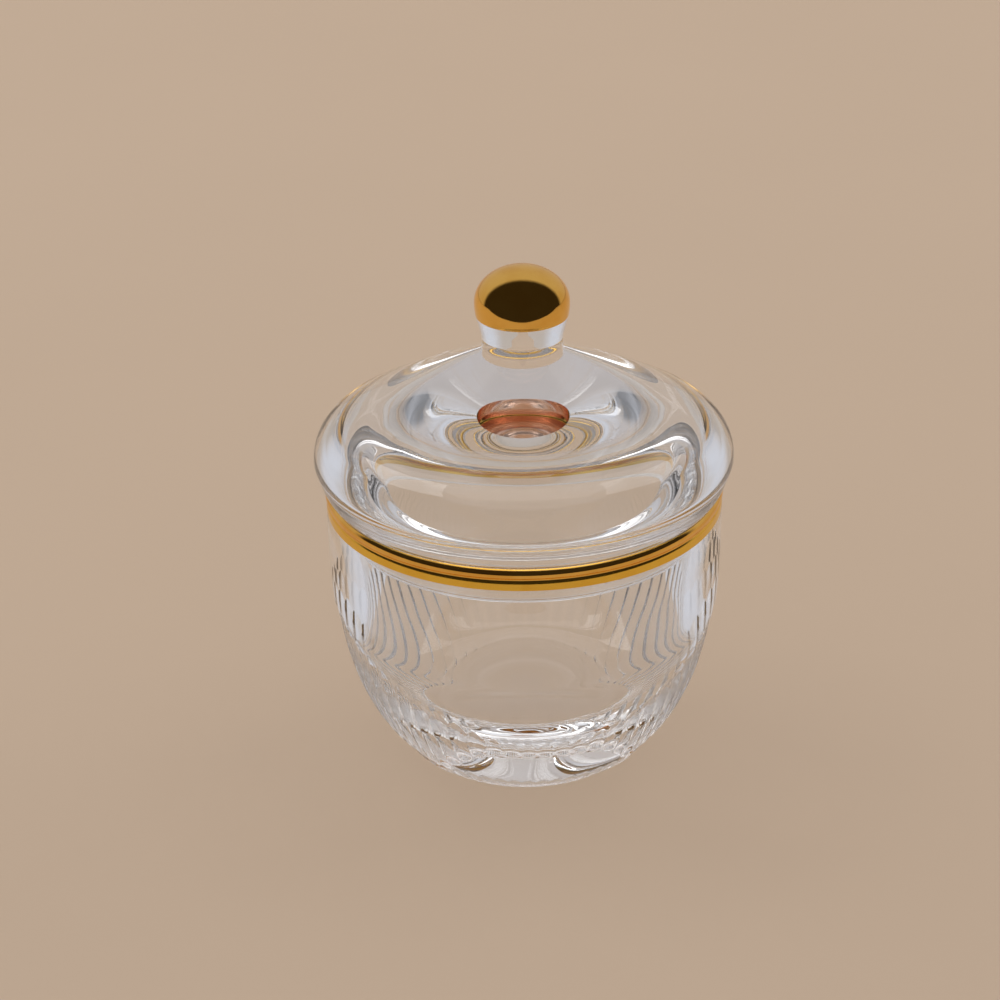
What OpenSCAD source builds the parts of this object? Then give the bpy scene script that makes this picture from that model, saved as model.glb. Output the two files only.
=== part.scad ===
// Lidded crystal dappen dish: an egg-shaped bowl with a gilded rim, and a domed lid with a
// gilded ball knob. Every piece is a solid of revolution about +Z and the foot stands on z = 0.

/* [Bowl] */
// Radius of the bowl's outer wall just under the gilded band
wall_r = 32.3; // [31.8:0.1:33.5]
// Height of the flat top of the bowl's lip above the foot
lip_z = 48.5; // [48.2:0.1:49.5]
// Radius of the straight inner wall at the mouth
mouth_r = 28.2; // [27.9:0.1:28.6]
// Height of the hollow's flat floor, which is the thickness of the base
floor_z = 10.0; // [6:0.1:13]

/* [Gilding] */
// Thickness given to the fired gold coat
gold_t = 0.25; // [0.15:0.05:0.4]
// Height of the lower edge of the gold band on the bowl
band_z = 44.8; // [43:0.1:45]
// Radius of the rounded bead at the outside of the lip
bead_r = 1.0; // [0.8:0.05:1.1]

/* [Lid] */
// Greatest radius of the lid, at its bulging shoulder
shoulder_r = 34.15; // [33:0.05:36]
// Outer radius of the flange that drops into the bowl
flange_r = 27.6; // [26.5:0.1:27.7]
// Thickness of the flange
flange_t = 3.0; // [2:0.1:4]
// How far the flange reaches below the seat
flange_drop = 8.0; // [5:0.1:10]
// Height of the highest point of the hollow under the dome
crown_z = 61.8; // [59:0.1:64]
// Height at which the knob's stem meets the dome
dome_top_z = 71.2; // [70:0.1:73]

/* [Knob] */
// Radius of the stem under the knob
stem_r = 6.6; // [5.5:0.1:7.2]
// Greatest radius of the gilded ball
ball_r = 7.7; // [7.3:0.1:9]
// Height of the ball's widest level
ball_z = 80.0; // [79:0.1:82]
// Height of the ball's top above its widest level
ball_rise = 5.9; // [5:0.1:7.5]

/* [Hidden] */

$fn = 96;
curve_steps = 10;

// The bowl's outer wall is a superellipse that narrows from the belly to the foot.
belly_z = 47.8;
belly_drop = 50.9;
belly_n = 3.02;
belly_m = 2.62;

// The hollow of the bowl has a flat floor, a rounded corner and a side that opens to the mouth.
floor_r = 14.0;
floor_pull = 5.6;
side_r = 26.9;
side_z = 25.5;
side_pull_low = 8.7;
side_pull_high = 3.6;
mouth_pull_z = 38.0;

// The lip: a narrow crease, then a rounded bead, then a flat top on which the lid sits.
crease_z = band_z + 1.6;
crease_depth = 0.2;
bead_centre_r = wall_r + 0.2 - bead_r;
bead_centre_z = lip_z - bead_r;
bead_start = -45;
gold_inner_r = 30.4;

// The lid's seat and the levels of its shoulder.
seat_r = 32.0;
seat_edge = 0.4;
seat_pull = [33.3, 50.2];
shoulder_z = 53.2;
shoulder_pull_z = 55.6;
shoulder_top = [31.2, 58.3];
shoulder_top_pull = [32.9, 57.3];
dome_swell = 0.35;

// The hollow under the dome: crown, widest level and the turn into the flange.
crown_pull_r = 13.0;
hollow_r = 30.8;
hollow_z = 52.6;
hollow_high_z = 60.3;
hollow_low_z = 50.6;
flange_high_z = 50.8;
flange_top_z = 49.0;

// The stem widens upward in a cone as far as the lower edge of the gold cap.
cone_z = 74.6;
cap_edge_z = 78.0;
barrel_drop = 6.0;
barrel_taper = 0.45;

function superellipse_r(z, top_r, top_z, drop, n, m) =
    top_r * pow(1 - pow(max(0, top_z - z) / drop, n), 1 / m);

function outer_r(z) = superellipse_r(z, wall_r, belly_z, belly_drop, belly_n, belly_m);

function bezier(a, b, c, d, t) =
    pow(1 - t, 3) * a + 3 * t * pow(1 - t, 2) * b + 3 * t * t * (1 - t) * c + t * t * t * d;

// Points of a curve with end points a and d, leaving out the first one.
function curve(a, b, c, d) = [for (i = [1 : curve_steps]) bezier(a, b, c, d, i / curve_steps)];

// Points of an arc, from one angle to another.
function arc(centre, r, from, to, steps) =
    [for (i = [0 : steps]) let (a = from + (to - from) * i / steps) centre + r * [cos(a), sin(a)]];

// The levels of the outer wall stand closer together towards the foot, where it turns in.
wall_steps = 22;
wall_line = [for (i = [0 : wall_steps]) let (z = band_z * pow(i / wall_steps, 1.5)) [outer_r(z), z]];

// The hollow, from the middle of its floor to the mouth.
hollow_line = concat(
    [[0, floor_z], [floor_r, floor_z]],
    curve([floor_r, floor_z], [floor_r + floor_pull, floor_z], [side_r, side_z - side_pull_low],
        [side_r, side_z]),
    curve([side_r, side_z], [side_r, side_z + side_pull_high], [mouth_r, mouth_pull_z], [mouth_r, belly_z]));

// Outside of the gold coat, from the band's lower edge to the inner edge of the lip.
gold_outside = concat(
    [[outer_r(band_z), band_z], [wall_r, crease_z - 0.1], [wall_r - crease_depth, crease_z + 0.1]],
    arc([bead_centre_r, bead_centre_z], bead_r, bead_start, 90, 9),
    [[gold_inner_r, lip_z]]);

// Inside of the gold coat, which is the glass under it.
gold_inside = concat(
    [[outer_r(band_z) - gold_t, band_z], [outer_r(band_z) - gold_t, crease_z + 0.2]],
    arc([bead_centre_r, bead_centre_z], bead_r - gold_t, bead_start, 90, 9),
    [[gold_inner_r, lip_z - gold_t]]);

function reversed(list) = [for (i = [len(list) - 1 : -1 : 0]) list[i]];

// The ball is half an ellipse above its widest level and a quarter barrel below it.
function ball_point(a, inset) = [(ball_r - inset) * cos(a), ball_z + (ball_rise - inset) * sin(a)];
function barrel_r(z, inset) =
    (ball_r - inset) * sqrt(1 - barrel_taper * pow((ball_z - z) / barrel_drop, 2));

// Glass bowl: thick base, egg-shaped wall and a rebate in which the rim's gold coat lies.
module bowl() {
    color("gainsboro", 0.5)
    rotate_extrude()
    polygon(concat([[0, 0]], wall_line, gold_inside, [[gold_inner_r, lip_z], [mouth_r, lip_z]],
        reversed(hollow_line)));
}

// Fired gold coat: flat band, crease, bead and the top of the lip.
module rim_gilding() {
    color("goldenrod")
    rotate_extrude()
    polygon(concat(gold_outside, reversed(gold_inside)));
}

// Glass lid: flange, seat, bulging shoulder and dome, hollow underneath.
module lid() {
    flange_in = flange_r - flange_t;
    flange_z = lip_z - flange_drop;
    tip_r = flange_t / 2;
    neck = [stem_r, dome_top_z];
    neck_run = neck - shoulder_top;
    swell = dome_swell * [neck_run[1], -neck_run[0]] / norm(neck_run);
    color("whitesmoke", 0.5)
    rotate_extrude()
    polygon(concat(
        [[flange_in, flange_z + tip_r]],
        arc([flange_r - tip_r, flange_z + tip_r], tip_r, 180, 360, 8),
        [[flange_r, lip_z], [seat_r, lip_z]],
        curve([seat_r, lip_z], [seat_r + seat_edge, lip_z], seat_pull, [shoulder_r, shoulder_z]),
        curve([shoulder_r, shoulder_z], [shoulder_r, shoulder_pull_z], shoulder_top_pull, shoulder_top),
        curve(shoulder_top, shoulder_top + neck_run / 3 + swell, neck - neck_run / 3 + swell, neck),
        [[0, dome_top_z], [0, crown_z]],
        curve([0, crown_z], [crown_pull_r, crown_z], [hollow_r, hollow_high_z], [hollow_r, hollow_z]),
        curve([hollow_r, hollow_z], [hollow_r, hollow_low_z], [flange_in, flange_high_z],
            [flange_in, flange_top_z])));
}

// Glass knob fused to the dome: stem, cone and the core of the ball.
module knob() {
    color("whitesmoke", 0.5)
    rotate_extrude()
    polygon(concat(
        [[0, dome_top_z], [stem_r, dome_top_z], [stem_r, cone_z], [barrel_r(cap_edge_z, 0), cap_edge_z],
            [barrel_r(cap_edge_z, gold_t), cap_edge_z]],
        [for (i = [1 : 4]) let (z = cap_edge_z + (ball_z - cap_edge_z) * i / 4) [barrel_r(z, gold_t), z]],
        [for (a = [9 : 9 : 90]) ball_point(a, gold_t)]));
}

// Fired gold cap over the ball, down to a little below its widest level.
module knob_gilding() {
    levels = [for (i = [0 : 4]) cap_edge_z + (ball_z - cap_edge_z) * i / 4];
    color("gold")
    rotate_extrude()
    polygon(concat(
        [for (z = levels) [barrel_r(z, 0), z]],
        [for (a = [9 : 9 : 90]) ball_point(a, 0)],
        [for (a = [90 : -9 : 9]) ball_point(a, gold_t)],
        [for (z = reversed(levels)) [barrel_r(z, gold_t), z]]));
}

bowl();
rim_gilding();
lid();
knob();
knob_gilding();
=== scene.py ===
"""Looks of a lidded crystal dappen dish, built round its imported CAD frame.

The dish is a fluted glass bowl with a gilded rim, under a domed glass lid with a gilded ball knob.
Lengths inside the shape classes are millimetres, as in the part's own source, and a mesh is scaled
to metres when it is made. The main sizes are read from the boxes of the CAD's nodes.
"""

import logging
import math
from dataclasses import dataclass
from enum import Enum
from typing import Callable

import bpy
import numpy as np
from mathutils import Matrix, Vector

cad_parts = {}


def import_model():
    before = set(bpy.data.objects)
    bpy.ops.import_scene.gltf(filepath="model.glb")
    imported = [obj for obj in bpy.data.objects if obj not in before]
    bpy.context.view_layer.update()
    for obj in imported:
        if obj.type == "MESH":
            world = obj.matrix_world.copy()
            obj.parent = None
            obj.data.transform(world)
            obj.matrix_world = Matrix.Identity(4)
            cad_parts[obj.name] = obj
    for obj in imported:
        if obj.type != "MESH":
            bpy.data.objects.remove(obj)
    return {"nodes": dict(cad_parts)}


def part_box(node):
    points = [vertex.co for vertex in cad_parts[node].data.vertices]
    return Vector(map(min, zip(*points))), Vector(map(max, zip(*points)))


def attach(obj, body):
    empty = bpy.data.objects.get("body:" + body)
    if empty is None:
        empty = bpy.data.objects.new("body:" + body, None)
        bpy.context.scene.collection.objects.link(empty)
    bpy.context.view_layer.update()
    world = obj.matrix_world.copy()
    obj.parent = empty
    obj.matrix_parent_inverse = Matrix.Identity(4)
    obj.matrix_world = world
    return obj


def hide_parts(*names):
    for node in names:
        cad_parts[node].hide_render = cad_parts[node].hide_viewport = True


LOG = logging.getLogger("dappen_dish")

MM = 0.001

Point = tuple[float, float]
Place = tuple[float, float, float]
Colour = tuple[float, float, float]


# ---------------------------------------------------------------------------------------------
# Sizes and outlines
# ---------------------------------------------------------------------------------------------


def extent(node: str) -> tuple[float, float, float]:
    """Reads the main sizes of a CAD node that is turned on the upright axis.

    Args:
        node: Name of the node.

    Returns:
        Its greatest radius, lowest level and highest level, in millimetres.
    """
    low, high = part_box(node)
    return round(high[0] / MM, 3), round(low[2] / MM, 3), round(high[2] / MM, 3)


def bezier(a: Point, b: Point, c: Point, d: Point, steps: int) -> list[Point]:
    """Points of a cubic curve, without its first one.

    Args:
        a: Start of the curve.
        b: Handle of the start.
        c: Handle of the end.
        d: End of the curve.
        steps: Number of points.

    Returns:
        The points after a, the last of them at d.
    """
    corners = np.array([a, b, c, d], float)
    t = np.linspace(0, 1, steps + 1)[1:, None]
    weights = np.hstack([(1 - t) ** 3, 3 * t * (1 - t) ** 2, 3 * t**2 * (1 - t), t**3])
    return [tuple(p) for p in weights @ corners]


def arc(centre: Point, radius: float, start: float, end: float, steps: int) -> list[Point]:
    """Points of a circular arc, both ends included.

    Args:
        centre: Centre of the circle.
        radius: Its radius.
        start: Angle of the first point, in degrees.
        end: Angle of the last point, in degrees.
        steps: Number of steps between them.

    Returns:
        The points from start to end.
    """
    angles = np.radians(np.linspace(start, end, steps + 1))
    return [(centre[0] + radius * math.cos(t), centre[1] + radius * math.sin(t)) for t in angles]


def finely(points: list[Point], step: float) -> list[Point]:
    """The same outline, with points added so that no piece of it is longer than a step.

    Args:
        points: The outline.
        step: The longest piece allowed.

    Returns:
        The outline with its own points kept.
    """
    out = [points[0]]
    for a, b in zip(points, points[1:]):
        run = (b[0] - a[0], b[1] - a[1])
        length = math.hypot(*run)
        if length < 1e-6:
            continue
        count = max(1, math.ceil(length / step))
        out += [(a[0] + run[0] * i / count, a[1] + run[1] * i / count) for i in range(1, count + 1)]
    return out


# ---------------------------------------------------------------------------------------------
# Meshes turned on the axis
# ---------------------------------------------------------------------------------------------


@dataclass
class Turned:
    """A closed solid turned about the upright axis from an outline.

    Attributes:
        name: Name of the piece.
        outline: Points (radius, height) in order. A solid's outline starts and ends on the axis, and
            a ring's outline is closed.
        columns: Number of points round the axis.
        ring: True where the outline is closed and never meets the axis.
        inset: How far in a point of the wall is cut, from its angle, its height and its row.
        sharp: Angle, in degrees, above which an edge stays crisp.
    """

    name: str
    outline: list[Point]
    columns: int
    ring: bool = False
    inset: Callable[[np.ndarray, np.ndarray, np.ndarray], np.ndarray] | None = None
    sharp: float = 60.0

    def grid(self, points: np.ndarray) -> np.ndarray:
        """Turns the outline into rows of corners.

        Args:
            points: The outline's points that aren't on the axis.

        Returns:
            The corners (x, y, z) in millimetres, row after row.
        """
        rows = len(points)
        angle = np.linspace(0, 2 * math.pi, self.columns, endpoint=False)
        radius = np.repeat(points[:, :1], self.columns, 1)
        height = np.repeat(points[:, 1:], self.columns, 1)
        if self.inset is not None:
            row = np.repeat(np.arange(rows)[:, None], self.columns, 1)
            radius = radius - self.inset(np.repeat(angle[None, :], rows, 0), height, row)
        return np.stack([radius * np.cos(angle), radius * np.sin(angle), height], -1).reshape(-1, 3)

    def build(self) -> bpy.types.Object:
        """Makes the mesh in metres and links its object.

        Returns:
            The piece.
        """
        points = np.array(self.outline, float)
        if not self.ring:
            points = points[1:-1]
        verts = self.grid(points)
        index = np.arange(len(verts)).reshape(len(points), self.columns)
        lower, upper = (index, np.roll(index, -1, 0)) if self.ring else (index[:-1], index[1:])
        quads = np.stack([lower, np.roll(lower, -1, 1), np.roll(upper, -1, 1), upper], -1)
        faces = quads.reshape(-1, 4).tolist()
        if not self.ring:
            foot, crown = len(verts), len(verts) + 1
            verts = np.vstack([verts, [[0, 0, self.outline[0][1]], [0, 0, self.outline[-1][1]]]])
            faces += [[foot, b, a] for a, b in zip(index[0], np.roll(index[0], -1))]
            faces += [[crown, a, b] for a, b in zip(index[-1], np.roll(index[-1], -1))]
        mesh = bpy.data.meshes.new(self.name)
        mesh.from_pydata((verts * MM).tolist(), [], faces)
        mesh.validate()
        mesh.shade_smooth()
        mesh.set_sharp_from_angle(angle=math.radians(self.sharp))
        piece = bpy.data.objects.new(self.name, mesh)
        bpy.context.scene.collection.objects.link(piece)
        return piece


# ---------------------------------------------------------------------------------------------
# Shader maths
# ---------------------------------------------------------------------------------------------


class Socket:
    """An output socket of a shader node, on which Python arithmetic adds Math nodes."""

    def __init__(self, shader: "Shader", output: bpy.types.NodeSocket | None) -> None:
        """Wraps an output of a node in the given shader."""
        self.shader = shader
        self.output = output

    def _math(self, operation: str, *values: "Socket | float") -> "Socket":
        """Adds a Math node that works on the values in order."""
        return self.shader.node("ShaderNodeMath", {"operation": operation}, dict(enumerate(values)))

    def __add__(self, other: "Socket | float") -> "Socket":
        """Sum."""
        return self._math("ADD", self, other)

    __radd__ = __add__

    def __sub__(self, other: "Socket | float") -> "Socket":
        """Difference."""
        return self._math("SUBTRACT", self, other)

    def __rsub__(self, other: float) -> "Socket":
        """Difference, with this value taken away."""
        return self._math("SUBTRACT", other, self)

    def __mul__(self, other: "Socket | float") -> "Socket":
        """Product."""
        return self._math("MULTIPLY", self, other)

    __rmul__ = __mul__

    def __abs__(self) -> "Socket":
        """This value without its sign."""
        return self._math("ABSOLUTE", self)

    def clamp(self) -> "Socket":
        """This value held between 0 and 1."""
        return self.shader.node("ShaderNodeClamp", {}, {"Value": self})

    def ramp(self, low: float, high: float) -> "Socket":
        """A smooth step from 0 at low to 1 at high."""
        values = {"Value": self, "From Min": low, "From Max": high}
        return self.shader.node("ShaderNodeMapRange", {"interpolation_type": "SMOOTHSTEP"}, values)


class Shader:
    """Builds the nodes of one material or of the world."""

    def __init__(self, tree: bpy.types.NodeTree) -> None:
        """Starts from an empty node tree."""
        self.tree = tree
        tree.nodes.clear()

    def node(self, kind: str, settings: dict, inputs: dict, output: str | int = 0) -> Socket:
        """Adds a node.

        Args:
            kind: The node's type.
            settings: Its own settings, set before its sockets.
            inputs: Values or links of its sockets, by name or number.
            output: The output wanted, by name or number.

        Returns:
            That output, or an empty socket where the node has none.
        """
        made = self.tree.nodes.new(kind)
        for key, value in settings.items():
            setattr(made, key, value)
        for key, value in inputs.items():
            if isinstance(value, Socket):
                self.tree.links.new(value.output, made.inputs[key])
            else:
                made.inputs[key].default_value = value
        return Socket(self, made.outputs[output] if made.outputs else None)

    def mix(self, factor: Socket | float, a: Socket | Colour, b: Socket | Colour) -> Socket:
        """Mixes two colours.

        Args:
            factor: 0 gives a and 1 gives b.
            a: First colour.
            b: Second colour.

        Returns:
            The mixed colour.
        """
        first, second = ((*c, 1.0) if isinstance(c, tuple) else c for c in (a, b))
        return self.node("ShaderNodeMix", {"data_type": "RGBA"}, {0: factor, 6: first, 7: second}, 2)

    def light_path(self, kind: str) -> Socket:
        """1 for light rays of a kind, and 0 for all others."""
        return self.node("ShaderNodeLightPath", {}, {}, kind)

    def noise(self, scale: float, detail: float) -> Socket:
        """Noise that lies still in the piece's own space and moves with the piece.

        Args:
            scale: Number of lumps in a metre.
            detail: Octaves of finer noise.

        Returns:
            The noise value, 0 to 1.
        """
        place = self.node("ShaderNodeTexCoord", {}, {}, "Object")
        values = {"Vector": place, "Scale": scale, "Detail": detail}
        return self.node("ShaderNodeTexNoise", {}, values, "Fac")

    def bump(self, height: Socket, distance: float) -> Socket:
        """A normal tilted by a height, of which 1 stands for a distance in metres."""
        return self.node("ShaderNodeBump", {}, {"Height": height, "Distance": distance}, "Normal")

    def close(self, closing: Socket) -> None:
        """Links a shader to the tree's output."""
        kind = "World" if self.tree.id_data.id_type == "WORLD" else "Material"
        self.node("ShaderNodeOutput" + kind, {}, {"Surface": closing})


def new_material(name: str) -> tuple[bpy.types.Material, Shader]:
    """Makes a material with an empty node tree.

    Args:
        name: Name of the material.

    Returns:
        The material and the builder of its nodes.
    """
    material = bpy.data.materials.new(name)
    material.use_nodes = True
    return material, Shader(material.node_tree)


# ---------------------------------------------------------------------------------------------
# Finishes
# ---------------------------------------------------------------------------------------------


@dataclass(frozen=True)
class Crystal:
    """Clear polished crystal with the faint waves of hand work and the haze of handling.

    Attributes:
        name: Name of the material.
        tint: Colour left in the light that passes a surface.
        index: Refractive index.
        wave: Depth of the waves in the surface, in metres.
        wave_scale: Waves in a metre.
        haze: Roughness where the surface has been handled.
        haze_scale: Handled patches in a metre.
        shade: Colour of the light that goes straight through to the paper.
    """

    name: str
    tint: Colour = (0.985, 0.99, 0.995)
    index: float = 1.53
    wave: float = 0.00004
    wave_scale: float = 90.0
    haze: float = 0.012
    haze_scale: float = 60.0
    shade: Colour = (0.975, 0.972, 0.97)

    def make(self) -> bpy.types.Material:
        """Builds the material, which lets lamp light go straight through in shadows.

        Returns:
            The material.
        """
        material, shader = new_material(self.name)
        glass = shader.node(
            "ShaderNodeBsdfPrincipled",
            {},
            {
                "Base Color": (*self.tint, 1.0),
                "IOR": self.index,
                "Transmission Weight": 1.0,
                "Roughness": shader.noise(self.haze_scale, 3.0).ramp(0.55, 0.8) * self.haze,
                "Normal": shader.bump(shader.noise(self.wave_scale, 1.0), self.wave),
            },
        )
        clear = shader.node("ShaderNodeBsdfTransparent", {}, {"Color": (*self.shade, 1.0)})
        straight = (shader.light_path("Is Shadow Ray") + shader.light_path("Is Diffuse Ray")).clamp()
        shader.close(shader.node("ShaderNodeMixShader", {}, {0: straight, 1: glass, 2: clear}))
        return material


@dataclass(frozen=True)
class Gilding:
    """Fired gold.

    Attributes:
        name: Name of the material.
        colour: Colour of the gold.
        thin: Colour where the coat is thin.
        roughness: Roughness of the burnished coat.
        grain: Depth of its fine unevenness, in metres.
        cloud_scale: Thin patches in a metre.
        grain_scale: Grains in a metre.
    """

    name: str
    colour: Colour = (1.0, 0.61, 0.14)
    thin: Colour = (0.92, 0.52, 0.1)
    roughness: float = 0.06
    grain: float = 0.000004
    cloud_scale: float = 260.0
    grain_scale: float = 1500.0

    def make(self) -> bpy.types.Material:
        """Builds the material.

        Returns:
            The material.
        """
        material, shader = new_material(self.name)
        cloud = shader.noise(self.cloud_scale, 3.0)
        values = {
            "Base Color": shader.mix(cloud.ramp(0.35, 0.75), self.colour, self.thin),
            "Metallic": 1.0,
            "Roughness": self.roughness + cloud * (self.roughness * 0.6),
            "Normal": shader.bump(shader.noise(self.grain_scale, 2.0), self.grain),
        }
        shader.close(shader.node("ShaderNodeBsdfPrincipled", {}, values))
        return material


class Gold(Enum):
    """The finishes that the gold coat has."""

    BRIGHT = Gilding("gold_burnished")
    BAND = Gilding("gold_band", (1.0, 0.66, 0.1), (0.97, 0.6, 0.08), roughness=0.14, grain=0.000006)
    UNDERSIDE = Gilding("gold_underside", (0.9, 0.64, 0.5), (0.8, 0.5, 0.36), roughness=0.1)


# ---------------------------------------------------------------------------------------------
# Bowl
# ---------------------------------------------------------------------------------------------


@dataclass
class Flutes:
    """Cut flutes that run down the bowl's wall and end above in pointed leaves along a wave.

    At the front they end below at a smooth band, under which a short row of cuts follows at the heel.

    Attributes:
        count: Number of flutes round the bowl.
        depth: Greatest depth of a cut.
        cutter: Radius of the cutting wheel's rounded edge.
        foot_z: Height at which the front cuts end below.
        heel_z: Height at which all the other cuts end below.
        foot_run: Height over which a cut reaches its full depth from below.
        leaf_run: Height over which a cut fades out at its top.
        leaf_point: Exponent that draws the leaves' tops out into points.
        wave_mean: Mean height of the cuts' tops.
        wave_rise: Rise of the wave above and below the mean.
        wave_turn: Azimuth of the lowest tops, in degrees from the +X axis.
        band_end: Cosine of the angle from the front at which the smooth band has gone.
        band_blend: Change of that cosine over which it goes.
        heel_depth: Depth of the heel's cuts, as a share of the others'.
        heel_start: Height at which the heel's cuts begin.
        heel_run: Height over which they reach their depth.
        heel_top: Height at which they end.
        heel_slope: How much of the wave's height their tops follow.
        heel_leaf: Height over which they fade out.
    """

    count: int = 60
    depth: float = 0.95
    cutter: float = 2.7
    foot_z: float = 11.9
    heel_z: float = 2.2
    foot_run: float = 2.0
    leaf_run: float = 3.4
    leaf_point: float = 1.7
    wave_mean: float = 22.8
    wave_rise: float = 7.6
    wave_turn: float = -85.0
    band_end: float = 0.68
    band_blend: float = 0.26
    heel_depth: float = 0.6
    heel_start: float = 0.5
    heel_run: float = 1.0
    heel_top: float = 4.0
    heel_slope: float = 0.35
    heel_leaf: float = 3.0

    def leaf(self, below: np.ndarray, above: np.ndarray) -> np.ndarray:
        """Share of its full depth that a cut has.

        Args:
            below: Height over the cut's lower end, as a share of the run there.
            above: Height left to its upper end, as a share of the run there.

        Returns:
            The share, 0 to 1.
        """
        foot = np.sin(np.clip(below, 0, 1) * math.pi / 2)
        return foot * np.sin(np.clip(above, 0, 1) * math.pi / 2) ** self.leaf_point

    def cut(self, angle: np.ndarray, height: np.ndarray, radius: np.ndarray) -> np.ndarray:
        """Depth of the cuts at points of the wall.

        Args:
            angle: Azimuth of each point, in radians.
            height: Its height.
            radius: Radius of the uncut wall there.

        Returns:
            How far in the wall is cut.
        """
        pitch = 2 * math.pi / self.count
        deepest = np.zeros_like(height)
        for neighbour in (-1, 0, 1):
            centre = (np.round(angle / pitch) + neighbour) * pitch
            turn = centre - math.radians(self.wave_turn)
            top = self.wave_mean - self.wave_rise * np.cos(2 * turn)
            front = np.clip((np.cos(turn) - self.band_end) / self.band_blend, 0, 1)
            foot = self.heel_z + (self.foot_z - self.heel_z) * front
            flute = self.leaf((height - foot) / self.foot_run, (top - height) / self.leaf_run)
            below = (height - self.heel_start) / self.heel_run
            above = (self.heel_top + self.heel_slope * (top - self.foot_z) - height) / self.heel_leaf
            heel = self.heel_depth * self.leaf(below, above) * front
            along = self.depth * np.maximum(flute, heel)
            across = (radius * (angle - centre)) ** 2 / (2 * self.cutter)
            deepest = np.maximum(deepest, along - across)
        return deepest


@dataclass
class Bowl:
    """The glass bowl and the gold coat on its rim.

    Attributes:
        wall_r: Radius of the outer wall under the band.
        lip_z: Height of the lip's flat top.
        band_z: Height of the band's lower edge.
        mouth_r: Radius of the inner wall at the mouth.
        belly_z: Height of the wall's widest level.
        belly_drop: Height over which the wall's curve would close to a point.
        belly_n: Exponent of the curve on the height.
        belly_m: Exponent of the curve on the radius.
        floor_r: Radius of the hollow's flat floor.
        floor_z: Height of the floor.
        floor_pull: How far the floor's curve runs out level.
        side_r: Radius where the corner meets the side.
        side_z: Height where the corner meets the side.
        side_pulls: How far the curve runs upright below and above that level.
        mouth_pull_z: Height from which the side runs straight up to the mouth.
        foot_rings: Radii of the rings of corners under the foot.
        crease_rise: Height of the crease above the band's lower edge.
        crease: Steps (outwards, upwards) from the wall at the crease's level into the crease.
        bead_r: Radius of the bead at the outside of the lip.
        bead_proud: How far the bead stands out of the wall.
        gold_t: Thickness of the gold coat.
        gold_inner_r: Radius at which the gold ends on the lip.
        seat_gap: Depth by which the lip stays under the lid's seat.
        corner_r: Radius of the corner between the lip and the mouth.
        corner_drop: Depth below the lip at which the mouth's side begins.
        wall_rows: Rows of corners in the outer wall.
        columns_per_flute: Columns of corners in each flute.
    """

    wall_r: float
    lip_z: float
    band_z: float
    mouth_r: float = 28.2
    belly_z: float = 47.8
    belly_drop: float = 50.9
    belly_n: float = 3.02
    belly_m: float = 2.62
    floor_r: float = 14.0
    floor_z: float = 10.0
    floor_pull: float = 5.6
    side_r: float = 26.9
    side_z: float = 25.5
    side_pulls: Point = (8.7, 3.6)
    mouth_pull_z: float = 38.0
    foot_rings: Point = (6.0, 12.0)
    crease_rise: float = 1.6
    crease: tuple[Point, ...] = ((0.01, -0.25), (-0.12, -0.06), (-0.2, 0.08))
    bead_r: float = 1.0
    bead_proud: float = 0.2
    gold_t: float = 0.24
    gold_inner_r: float = 30.4
    seat_gap: float = 0.02
    corner_r: float = 0.35
    corner_drop: float = 0.4
    wall_rows: int = 240
    columns_per_flute: int = 12

    @classmethod
    def on_frame(cls) -> "Bowl":
        """The bowl with the main sizes of the CAD's rim."""
        rim_r, band_z, lip_z = extent("rim_gilding")
        return cls(wall_r=round(rim_r - cls.bead_proud, 3), lip_z=lip_z, band_z=band_z)

    @property
    def crease_z(self) -> float:
        """Height of the crease between the band and the bead."""
        return self.band_z + self.crease_rise

    def wall_radius(self, height: np.ndarray | float) -> np.ndarray | float:
        """Radius of the outer wall at a height."""
        fall = np.maximum(0, self.belly_z - height) / self.belly_drop
        return self.wall_r * (1 - fall**self.belly_n) ** (1 / self.belly_m)

    def hollow_line(self) -> list[Point]:
        """Draws the hollow's outline.

        Returns:
            The points from the floor's centre to the mouth.
        """
        edge = (self.floor_r, self.floor_z)
        side = (self.side_r, self.side_z)
        low, high = self.side_pulls
        line = [(0.0, self.floor_z), edge]
        line += bezier(edge, (edge[0] + self.floor_pull, edge[1]), (side[0], side[1] - low), side, 60)
        mouth = (self.mouth_r, self.belly_z)
        return line + bezier(side, (side[0], side[1] + high), (mouth[0], self.mouth_pull_z), mouth, 40)

    def rim(self, skin: float) -> list[Point]:
        """Draws the rim's outline, from the band's lower edge upwards and then inwards over the lip.

        Args:
            skin: How far inside the coat's outer surface the outline runs.

        Returns:
            The outline.
        """
        bead = (self.wall_r + self.bead_proud - self.bead_r, self.lip_z - self.bead_r)
        line = [(self.wall_r - skin, self.band_z)]
        line += [(self.wall_r + out - skin, self.crease_z + up) for out, up in self.crease]
        line += arc(bead, self.bead_r - skin, -45, 90, 24)
        return line + [(self.gold_inner_r, self.lip_z - skin)]

    def glass(self, flutes: Flutes) -> bpy.types.Object:
        """Makes the bowl's glass, with its flutes.

        Args:
            flutes: The flutes cut into it.

        Returns:
            The piece.
        """
        wall = [(float(self.wall_radius(z)), float(z)) for z in np.linspace(0, self.band_z, self.wall_rows)]
        top = self.lip_z - self.seat_gap
        corner = (self.mouth_r + self.corner_r, top - self.corner_r)
        lip = self.rim(self.gold_t / 2) + [(self.gold_inner_r - self.seat_gap, top), (corner[0], top)]
        mouth = arc(corner, self.corner_r, 90, 180, 6)
        side = [(self.mouth_r, self.lip_z - self.corner_drop)] + self.hollow_line()[::-1]
        foot = [(0.0, 0.0)] + [(r, 0.0) for r in self.foot_rings]
        first, last = len(self.foot_rings), len(self.foot_rings) + len(wall)

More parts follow.
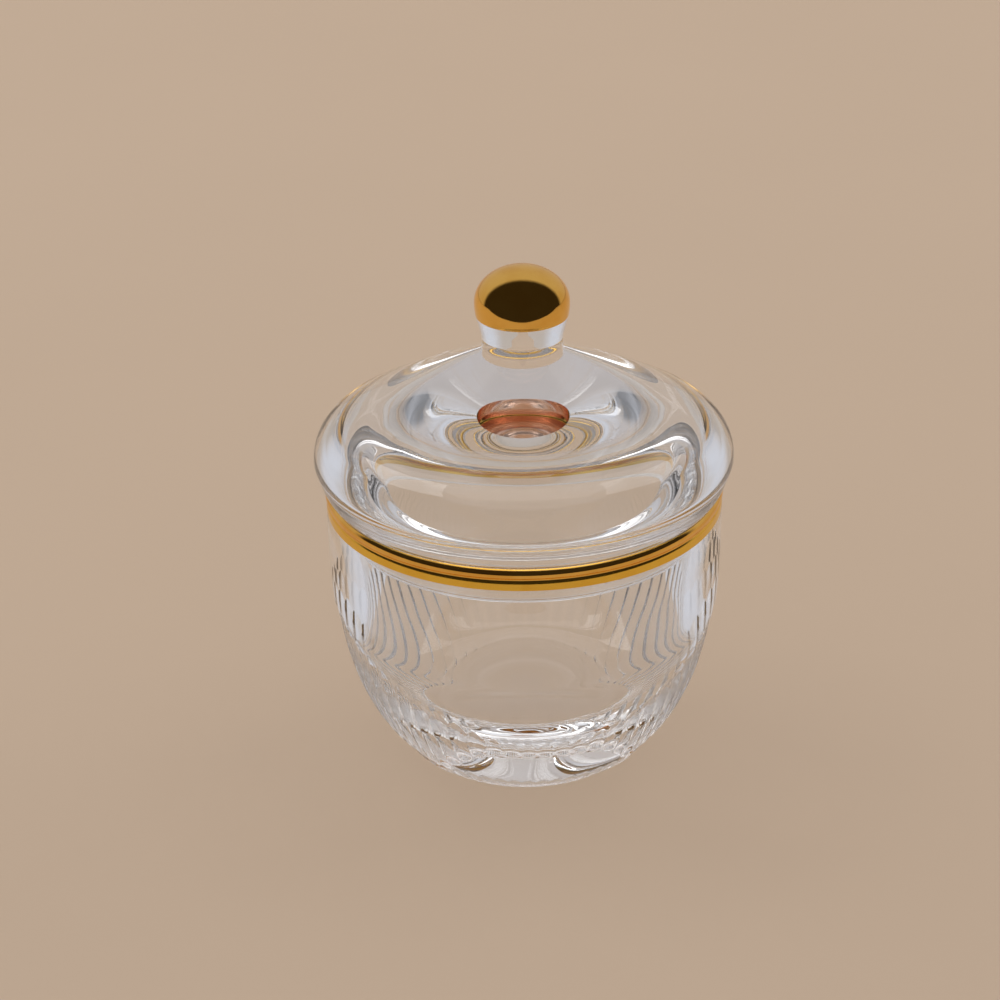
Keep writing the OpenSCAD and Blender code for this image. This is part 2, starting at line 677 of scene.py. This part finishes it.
        def inset(angle: np.ndarray, height: np.ndarray, row: np.ndarray) -> np.ndarray:
            """Cuts only the rows of the outer wall."""
            cut = flutes.cut(angle, height, self.wall_radius(height))
            return np.where((row >= first) & (row < last), cut, 0)

        outline = foot + wall + lip + mouth + finely(side, 0.8)
        columns = flutes.count * self.columns_per_flute
        return Turned("bowl_glass", outline, columns, inset=inset, sharp=36).build()

    def gilding(self) -> bpy.types.Object:
        """Makes the gold coat on the rim, burnished above its crease and satin in the band below.

        Returns:
            The piece.
        """
        top = self.lip_z - self.seat_gap
        outside = [(r, min(z, top)) for r, z in finely(self.rim(0.0), 0.3)]
        inside = finely(self.rim(self.gold_t), 0.3)
        gold = Turned("rim_gold", outside + inside[::-1], 512, ring=True).build()
        gold.data.materials.append(Gold.BRIGHT.value.make())
        gold.data.materials.append(Gold.BAND.value.make())
        for face in gold.data.polygons:
            face.material_index = int(face.center.z < self.crease_z * MM)
        return gold

    def dress(self, flutes: Flutes) -> list[bpy.types.Object]:
        """Builds the bowl's pieces, gives them their finishes and binds them to the frame.

        Args:
            flutes: The flutes cut into the glass.

        Returns:
            The pieces.
        """
        glass = self.glass(flutes)
        glass.data.materials.append(Crystal("bowl_crystal").make())
        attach(glass, "dish")
        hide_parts("bowl")
        gold = self.gilding()
        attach(gold, "dish")
        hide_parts("rim_gilding")
        return [glass, gold]


# ---------------------------------------------------------------------------------------------
# Lid
# ---------------------------------------------------------------------------------------------


@dataclass
class Lid:
    """The glass lid with its knob, and the gold cap on the knob.

    Attributes:
        lip_z: Height of the seat, which is the bowl's lip.
        shoulder_r: Greatest radius, at the bulging shoulder.
        tip_z: Height of the flange's lowest point.
        dome_top_z: Height at which the stem meets the dome.
        ball_r: Greatest radius of the ball.
        cap_edge_z: Height of the gold cap's lower edge.
        ball_rise: Height of the ball's top above its widest level.
        ball_z: Height of the ball's widest level.
        barrel_drop: Height over which the ball's lower part narrows.
        barrel_taper: How strongly it narrows.
        stem_r: Radius of the stem.
        cone_z: Height at which the stem begins to widen.
        flange_r: Outer radius of the flange.
        flange_t: Thickness of the flange.
        flange_top_z: Height at which the flange's inner side begins.
        flange_high_z: Height of the curve's handle above it.
        seat_r: Outer radius of the seat.
        seat_edge: How far the shoulder's curve leaves the seat level.
        seat_pull: Handle of the curve from the seat to the shoulder.
        shoulder_z: Height of the shoulder's widest level.
        shoulder_pull_z: Height of the curve's handle above it.
        shoulder_top: Point at which the shoulder turns into the dome.
        shoulder_top_pull: Handle of the curve before that point.
        dome_swell: How far the dome bulges out of a straight cone.
        crown_z: Height of the hollow's highest point.
        crown_pull_r: How far the hollow's curve runs out level there.
        hollow_r: Greatest radius of the hollow.
        hollow_z: Height of the hollow's widest level.
        hollow_pulls: Heights of the curve's handles below and above that level.
        gold_t: Thickness of the gold coat.
    """

    lip_z: float
    shoulder_r: float
    tip_z: float
    dome_top_z: float
    ball_r: float
    cap_edge_z: float
    ball_rise: float
    ball_z: float = 80.0
    barrel_drop: float = 6.0
    barrel_taper: float = 0.45
    stem_r: float = 6.6
    cone_z: float = 74.6
    flange_r: float = 27.6
    flange_t: float = 3.0
    flange_top_z: float = 49.0
    flange_high_z: float = 50.8
    seat_r: float = 32.0
    seat_edge: float = 0.4
    seat_pull: Point = (33.3, 50.2)
    shoulder_z: float = 53.2
    shoulder_pull_z: float = 55.6
    shoulder_top: Point = (31.2, 58.3)
    shoulder_top_pull: Point = (32.9, 57.3)
    dome_swell: float = 0.33
    crown_z: float = 61.8
    crown_pull_r: float = 13.0
    hollow_r: float = 30.8
    hollow_z: float = 52.6
    hollow_pulls: Point = (50.6, 60.3)
    gold_t: float = 0.24

    @classmethod
    def on_frame(cls) -> "Lid":
        """Takes the main sizes from the CAD's bowl, lid and gold cap.

        Returns:
            The lid.
        """
        shoulder_r, tip_z, dome_top_z = extent("lid")
        ball_r, cap_edge_z, ball_top_z = extent("knob_gilding")
        ball_rise = round(ball_top_z - cls.ball_z, 3)
        return cls(extent("bowl")[2], shoulder_r, tip_z, dome_top_z, ball_r, cap_edge_z, ball_rise)

    @property
    def tip_centre_z(self) -> float:
        """Height of the centre of the flange's rounded tip."""
        return self.tip_z + self.flange_t / 2

    def flange_line(self) -> list[Point]:
        """Outline of the flange's tip and outside."""
        tip = self.flange_t / 2
        line = arc((self.flange_r - tip, self.tip_centre_z), tip, 180, 360, 20)
        return line + [(self.flange_r, self.lip_z)]

    def shell_line(self) -> list[Point]:
        """Draws the seat, the shoulder and the dome.

        Returns:
            The outline, up to the stem.
        """
        seat = (self.seat_r, self.lip_z)
        bulge = (self.shoulder_r, self.shoulder_z)
        top, neck = self.shoulder_top, (self.stem_r, self.dome_top_z)
        run = (neck[0] - top[0], neck[1] - top[1])
        length = math.hypot(*run)
        swell = (self.dome_swell * run[1] / length, -self.dome_swell * run[0] / length)
        a = (top[0] + run[0] / 3 + swell[0], top[1] + run[1] / 3 + swell[1])
        b = (neck[0] - run[0] / 3 + swell[0], neck[1] - run[1] / 3 + swell[1])
        line = [seat] + bezier(seat, (seat[0] + self.seat_edge, seat[1]), self.seat_pull, bulge, 30)
        line += bezier(bulge, (bulge[0], self.shoulder_pull_z), self.shoulder_top_pull, top, 30)
        return line + bezier(top, a, b, neck, 50)

    def ball_line(self, skin: float) -> list[Point]:
        """Draws the ball, a barrel below its widest level and half an ellipse above it.

        Args:
            skin: How far inside the gold's outer surface the outline runs.

        Returns:
            The outline, from the cap's lower edge to the top of the ball on the axis.
        """
        radius, rise = self.ball_r - skin, self.ball_rise - skin
        low, steps = self.cap_edge_z, 8
        levels = [low + (self.ball_z - low) * i / steps for i in range(steps + 1)]
        falls = [(self.ball_z - z) / self.barrel_drop for z in levels]
        barrel = [(radius * math.sqrt(1 - self.barrel_taper * f**2), z) for f, z in zip(falls, levels)]
        cap = arc((0.0, 0.0), 1.0, 0, 90, 40)[1:-1]
        top = [(radius * x, self.ball_z + rise * y) for x, y in cap]
        return barrel + top + [(0.0, self.ball_z + rise)]

    def hollow_line(self) -> list[Point]:
        """Draws the hollow under the dome.

        Returns:
            The outline, from the hollow's crown down to the flange's tip.
        """
        inside = self.flange_r - self.flange_t
        crown = (0.0, self.crown_z)
        side = (self.hollow_r, self.hollow_z)
        low, high = self.hollow_pulls
        line = [crown] + bezier(crown, (self.crown_pull_r, crown[1]), (side[0], high), side, 70)
        flange_top = (inside, self.flange_top_z)
        line += bezier(side, (side[0], low), (inside, self.flange_high_z), flange_top, 30)
        return line + [(inside, self.tip_centre_z)]

    def glass(self) -> bpy.types.Object:
        """Makes the lid's glass and the knob's, which are fused into one.

        Returns:
            The piece.
        """
        stem = [(self.stem_r, self.cone_z), self.ball_line(0.0)[0]]
        outside = self.flange_line()[1:] + self.shell_line() + stem
        outline = self.hollow_line() + outside + self.ball_line(self.gold_t / 2)
        return Turned("lid_glass", finely(outline, 0.5), 384, sharp=35).build()

    def gilding(self) -> bpy.types.Object:
        """Makes the gold cap on the ball, whose underside shows copper through the glass.

        Returns:
            The piece.
        """
        outline = self.ball_line(self.gold_t)[::-1] + self.ball_line(0.0)
        gold = Turned("knob_gold", outline, 256).build()
        gold.data.materials.append(Gold.BRIGHT.value.make())
        gold.data.materials.append(Gold.UNDERSIDE.value.make())
        middle = Vector((0, 0, self.ball_z * MM))
        for face in gold.data.polygons:
            face.material_index = int(face.normal.dot(face.center - middle) < 0)
        return gold

    def dress(self) -> list[bpy.types.Object]:
        """Builds the lid's pieces, gives them their finishes and binds them to the frame.

        Returns:
            The pieces.
        """
        glass = self.glass()
        glass.data.materials.append(Crystal("lid_crystal").make())
        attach(glass, "lid")
        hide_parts("lid", "knob")
        gold = self.gilding()
        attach(gold, "lid")
        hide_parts("knob_gilding")
        return [glass, gold]


# ---------------------------------------------------------------------------------------------
# Studio
# ---------------------------------------------------------------------------------------------


@dataclass(frozen=True)
class Lamp:
    """A square soft light that points at the dish.

    Attributes:
        name: Name of the lamp.
        place: Where it hangs, in metres.
        size: Length of its sides, in metres.
        power: Power, in watts.
        target: The point that it faces.
    """

    name: str
    place: Place
    size: float
    power: float
    target: Place = (0.0, 0.0, 0.03)

    def hang(self) -> None:
        """Hangs the lamp, which shows in no mirror."""
        data = bpy.data.lights.new(self.name, "AREA")
        data.shape = "SQUARE"
        data.size = self.size
        data.energy = self.power
        lamp = bpy.data.objects.new(self.name, data)
        lamp.location = self.place
        facing = Vector(self.target) - Vector(self.place)
        lamp.rotation_euler = facing.to_track_quat("-Z", "Y").to_euler()
        lamp.visible_glossy = False
        bpy.context.scene.collection.objects.link(lamp)


@dataclass(frozen=True)
class Room:
    """What the glass and the gold see round the dish: a pale room with soft boxes.

    Attributes:
        low: Colour of the room behind the dish, near the floor.
        high: Colour of the room behind and overhead.
        front: Colour of the room in front.
        front_in_glass: Colour of the front seen through glass.
        front_in_mirrors: Colour of the front seen in gold and in the glass's own shine.
        side_boxes: Colour of the soft boxes at both sides, seen through glass.
        top_box: Colour of the soft box overhead, seen through glass.
    """

    low: Colour = (0.50, 0.44, 0.39)
    high: Colour = (0.50, 0.465, 0.46)
    front: Colour = (0.45, 0.43, 0.42)
    front_in_glass: Colour = (0.2, 0.205, 0.22)
    front_in_mirrors: Colour = (0.03, 0.024, 0.018)
    side_boxes: Colour = (0.62, 0.635, 0.69)
    top_box: Colour = (0.85, 0.86, 0.9)

    def build(self) -> None:
        """Makes the world and its nodes."""
        world = bpy.data.worlds.new("room")
        bpy.context.scene.world = world
        world.use_nodes = True
        shader = Shader(world.node_tree)
        direction = shader.node("ShaderNodeTexCoord", {}, {}, "Generated")
        side, back, up = (shader.node("ShaderNodeSeparateXYZ", {}, {0: direction}, axis) for axis in "XYZ")
        through = shader.light_path("Is Transmission Ray")
        mirrored = shader.light_path("Is Glossy Ray") * (1.0 - through)
        front = shader.mix(through, self.front, self.front_in_glass)
        front = shader.mix(mirrored, front, self.front_in_mirrors)
        tone = shader.mix(up.ramp(-0.1, 0.6), self.low, self.high)
        tone = shader.mix((back - up * 0.2).ramp(0.12, 0.3), front, tone)
        spread = abs(side)
        boxes = spread.ramp(0.3, 0.6) - spread.ramp(0.72, 0.92) * 0.7
        tone = shader.mix(boxes * (1.0 - up.ramp(0.1, 0.4)) * through, tone, self.side_boxes)
        tone = shader.mix(up.ramp(0.8, 0.9) * through, tone, self.top_box)
        shader.close(shader.node("ShaderNodeBackground", {}, {"Color": tone, "Strength": 1.0}))


@dataclass
class Studio:
    """Paper floor, soft lights, room and the camera.

    Attributes:
        elevation: Camera's height angle, in degrees.
        roll: Camera's tilt about its own axis, in degrees.
        distance: Distance from the camera to the point that it looks at, in metres.
        aim: The point that it looks at.
        lens: Focal length, for a 36 mm wide sensor.
        half_width: Half the width of the paper's middle sheet.
        near_edge: How far forward the middle sheet reaches.
        far_edge: How far back the middle sheet reaches.
        reach: How far the paper goes to all sides.
        drop: How far the paper lies under the foot, so that the two never coincide.
        paper: The paper's two tones.
        lamps: The soft lights.
    """

    elevation: float = 26.46
    roll: float = -0.85
    distance: float = 0.64
    aim: Place = (-0.00397, 0.0, 0.0447)
    lens: float = 140.8
    half_width: float = 0.055
    near_edge: float = -0.165
    far_edge: float = 0.7
    reach: float = 2.5
    drop: float = 0.0002
    paper: tuple[Colour, Colour] = ((0.585, 0.455, 0.34), (0.615, 0.478, 0.357))
    lamps: tuple[Lamp, ...] = (
        Lamp("left", (-1.0, 0.5, 1.3), 1.0, 6.6),
        Lamp("right", (1.0, 0.5, 1.3), 1.0, 4.8),
        Lamp("top", (0.0, 0.5, 1.4), 1.2, 3.4),
    )

    def camera(self) -> None:
        """Places the camera."""
        data = bpy.data.cameras.new("camera")
        data.lens = self.lens
        data.sensor_width = 36.0
        camera = bpy.data.objects.new("camera", data)
        tilt = math.radians(self.elevation)
        back = Vector((0.0, -math.cos(tilt), math.sin(tilt)))
        turn = Matrix.Rotation(math.radians(90 - self.elevation), 4, "X")
        spin = Matrix.Rotation(math.radians(self.roll), 4, "Z")
        camera.matrix_world = Matrix.Translation(Vector(self.aim) + back * self.distance) @ turn @ spin
        bpy.context.scene.collection.objects.link(camera)
        bpy.context.scene.camera = camera

    def floor(self) -> None:
        """Lays pale paper in three sheets, of which the glass sees the middle one alone.

        The front sheet shows in no mirror, so that the gold has the dark reflection of the room.
        """
        material, shader = new_material("paper")
        tone = shader.mix(shader.noise(9.0, 4.0), *self.paper)
        values = {"Base Color": tone, "Roughness": 0.9, "Specular IOR Level": 0.2}
        shader.close(shader.node("ShaderNodeBsdfPrincipled", {}, values))
        x, near, far, reach = self.half_width, self.near_edge, self.far_edge, self.reach
        sheets = {
            "paper": [(-x, near, x, far)],
            "paper_side": [(-reach, near, -x, far), (x, near, reach, far), (-reach, far, reach, reach)],
            "paper_front": [(-reach, -reach, reach, near)],
        }
        for name, boxes in sheets.items():
            verts = [(u, v, 0.0) for a, b, c, d in boxes for u, v in ((a, b), (c, b), (c, d), (a, d))]
            faces = [tuple(range(4 * k, 4 * k + 4)) for k in range(len(boxes))]
            mesh = bpy.data.meshes.new(name)
            mesh.from_pydata(verts, [], faces)
            mesh.materials.append(material)
            paper = bpy.data.objects.new(name, mesh)
            bpy.context.scene.collection.objects.link(paper)
            paper.location.z = -self.drop
            paper.visible_transmission = name == "paper"
            paper.visible_glossy = name != "paper_front"

    def build(self) -> None:
        """Sets up everything round the dish."""
        self.camera()
        self.floor()
        for lamp in self.lamps:
            lamp.hang()
        Room().build()
        scene = bpy.context.scene
        scene.cycles.max_bounces = 24
        scene.cycles.transmission_bounces = 24
        scene.cycles.glossy_bounces = 12
        scene.cycles.transparent_max_bounces = 32
        scene.cycles.caustics_refractive = False
        scene.cycles.caustics_reflective = False
        scene.view_settings.view_transform = "Standard"
        LOG.info("studio ready")


# ---------------------------------------------------------------------------------------------
# Main
# ---------------------------------------------------------------------------------------------


def main() -> None:
    """Builds the dish round its frame and reports each piece."""
    logging.basicConfig(level=logging.INFO, format="%(name)s: %(message)s")
    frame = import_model()
    LOG.info("frame with %d CAD nodes", len(frame["nodes"]))
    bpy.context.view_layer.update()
    bowl, lid = Bowl.on_frame(), Lid.on_frame()
    Studio().build()
    for piece in bowl.dress(Flutes()) + lid.dress():
        LOG.info("%s: %d faces", piece.name, len(piece.data.polygons))


if __name__ == "__main__":
    main()
